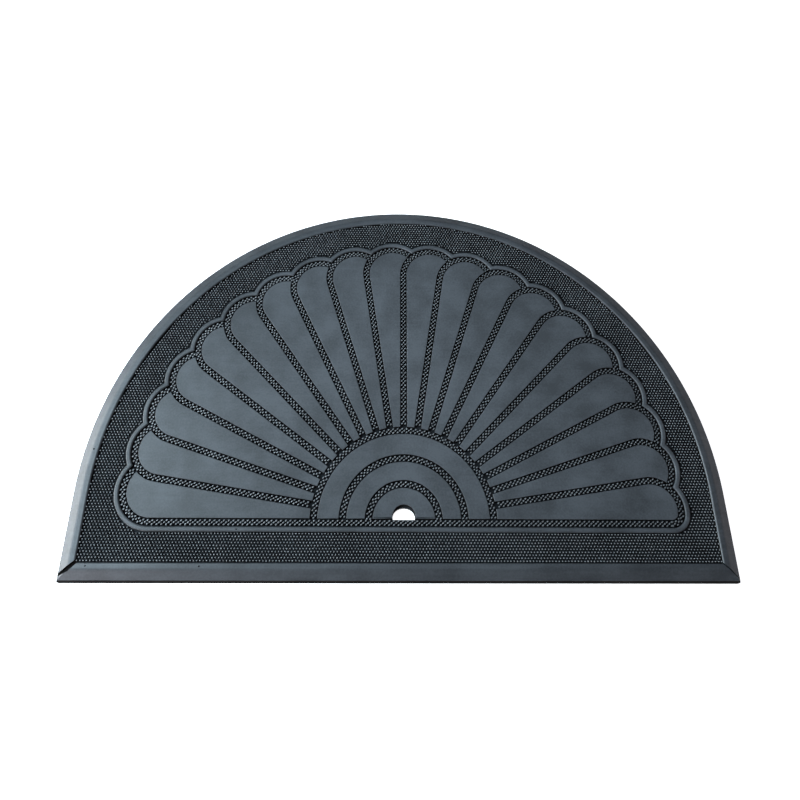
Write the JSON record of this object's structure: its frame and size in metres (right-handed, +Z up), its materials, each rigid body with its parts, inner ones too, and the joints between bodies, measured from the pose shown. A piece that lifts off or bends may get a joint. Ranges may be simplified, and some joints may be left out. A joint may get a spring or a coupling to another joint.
{
  "type": "half round doormat",
  "caption": "Half round moulded rubber doormat with a raised frame, a fan of raised petals, a scalloped rim, a ringed hub and a small half round hole.",
  "frame": {"origin": "on the underside, at the centre of the mat's bounding box", "axes": "+X along the straight edge, +Y from the straight edge to the round edge, +Z up out of the patterned face"},
  "size_m": [0.8, 0.5, 0.012],
  "materials": {
    "rubber": "matte"
  },
  "bodies": {
    "root": {"mat": "rubber"}
  },
  "joints": []
}
